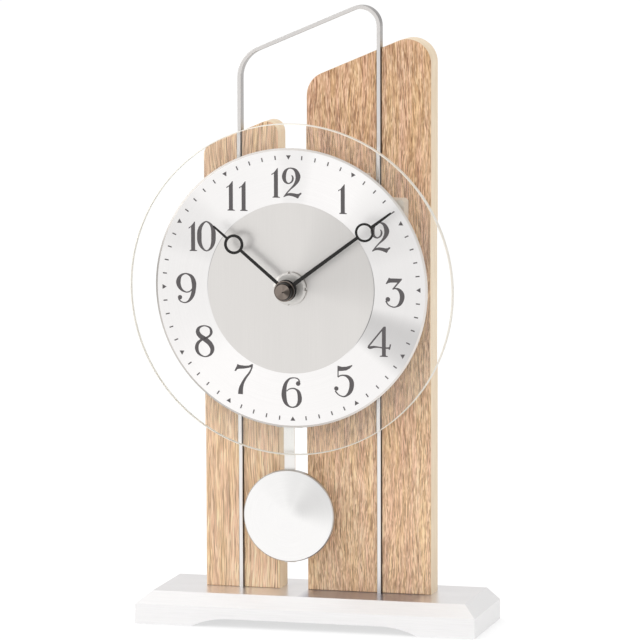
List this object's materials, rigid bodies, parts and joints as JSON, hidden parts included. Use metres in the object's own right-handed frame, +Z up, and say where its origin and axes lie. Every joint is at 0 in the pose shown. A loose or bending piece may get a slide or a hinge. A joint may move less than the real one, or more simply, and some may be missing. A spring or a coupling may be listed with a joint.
{
  "type": "desk pendulum clock",
  "caption": "Desk clock with a glass disc and round silver dial on two oak panels, a bent flat bar, a silver base and a swinging pendulum.",
  "frame": {"origin": "on the table under the middle of the clock's overall width and depth", "axes": "+X to the right seen from the front, +Y to the back, +Z up"},
  "size_m": [0.194, 0.062, 0.3327],
  "materials": {
    "base_silver": "polished top, satin front and ends",
    "oak": "rough-sawn oak grain face with pale edges",
    "bar_steel": "satin",
    "screw_steel": "zinc plated",
    "plate_white": "matt",
    "clear_glass": "clear with polished edge",
    "dial_silver": "spun satin",
    "dial_brushed": "brushed upwards",
    "seal_rubber": "matt",
    "nut_nickel": "satin nickel plate",
    "case_plastic": "fine matt moulding",
    "wheel_plastic": "natural moulding",
    "arbor_brass": "turned",
    "knob_plastic": "matt",
    "coil_copper": "enamelled copper winding",
    "board_green": "solder mask",
    "battery_shell": "gloss sleeve",
    "contact_steel": "nickel plated",
    "hand_black": "satin black",
    "cap_dark": "dark bronze, turned",
    "hanger_plastic": "matt",
    "magnet_nickel": "nickel plated",
    "rod_satin": "satin",
    "bob_spun": "spun satin"
  },
  "bodies": {
    "stand": {"base": "base_silver", "left_panel": "oak", "right_panel": "oak", "wire_frame": "bar_steel", "base_screws": "screw_steel", "mounting_plate": "plate_white", "upper_spacer": "plate_white", "plate_screws": "screw_steel", "glass_disc": "clear_glass", "dial": "dial_silver", "dial_centre": "dial_brushed", "shaft_seal": "seal_rubber", "front_washer": "nut_nickel", "fixing_nut": "nut_nickel", "case_front": "case_plastic", "case_back": "case_plastic", "wheel_post": "screw_steel", "drive_unit": "case_plastic", "drive_coil": "coil_copper", "circuit_board": "board_green", "minus_contact": "contact_steel", "plus_contact": "contact_steel", "pendulum_post": "screw_steel", "pivot_clip": "contact_steel", "pendulum_coil": "coil_copper", "pendulum_board": "board_green"},
    "minute_train": {"minute_arbor": "arbor_brass", "minute_hand": "hand_black", "hand_cap": "cap_dark"},
    "hour_train": {"hour_wheel": "wheel_plastic", "hour_hand": "hand_black"},
    "transfer_wheel": {"minute_wheel": "wheel_plastic"},
    "setting_knob": {"set_knob": "knob_plastic"},
    "pendulum": {"pendulum_hanger": "hanger_plastic", "drive_magnet": "magnet_nickel", "pendulum_rod": "rod_satin", "bob": "bob_spun", "bob_clip": "hanger_plastic"},
    "battery_cell": {"battery": "battery_shell"}
  },
  "joints": [
    {"name": "minute_hand_turn", "type": "hinge", "parent": "stand", "child": "minute_train", "pos_m": [-0.00743, 0, 0.1822], "axis": [0, 1, 0], "continuous": true},
    {"name": "hour_hand_turn", "type": "hinge", "parent": "stand", "child": "hour_train", "pos_m": [-0.00743, 0, 0.1822], "axis": [0, 1, 0], "continuous": true},
    {"name": "transfer_wheel_turn", "type": "hinge", "parent": "stand", "child": "transfer_wheel", "pos_m": [-0.0145, 0, 0.18927], "axis": [0, 1, 0], "continuous": true},
    {"name": "setting_knob_turn", "type": "hinge", "parent": "stand", "child": "setting_knob", "pos_m": [-0.02157, 0, 0.19634], "axis": [0, 1, 0], "continuous": true},
    {"name": "pendulum_swing", "type": "hinge", "parent": "stand", "child": "pendulum", "pos_m": [-0.01022, 0, 0.1445], "axis": [0, 1, 0], "range_deg": [-7, 7]},
    {"name": "battery_removal", "type": "slide", "parent": "stand", "child": "battery_cell", "axis": [0, 1, 0], "range_m": [0, 0.03]}
  ],
  "couplings": [
    {"joint": "hour_hand_turn", "follows": "minute_hand_turn", "ratio": 0.083333},
    {"joint": "transfer_wheel_turn", "follows": "minute_hand_turn", "ratio": -0.33333},
    {"joint": "setting_knob_turn", "follows": "minute_hand_turn", "ratio": 1}
  ]
}
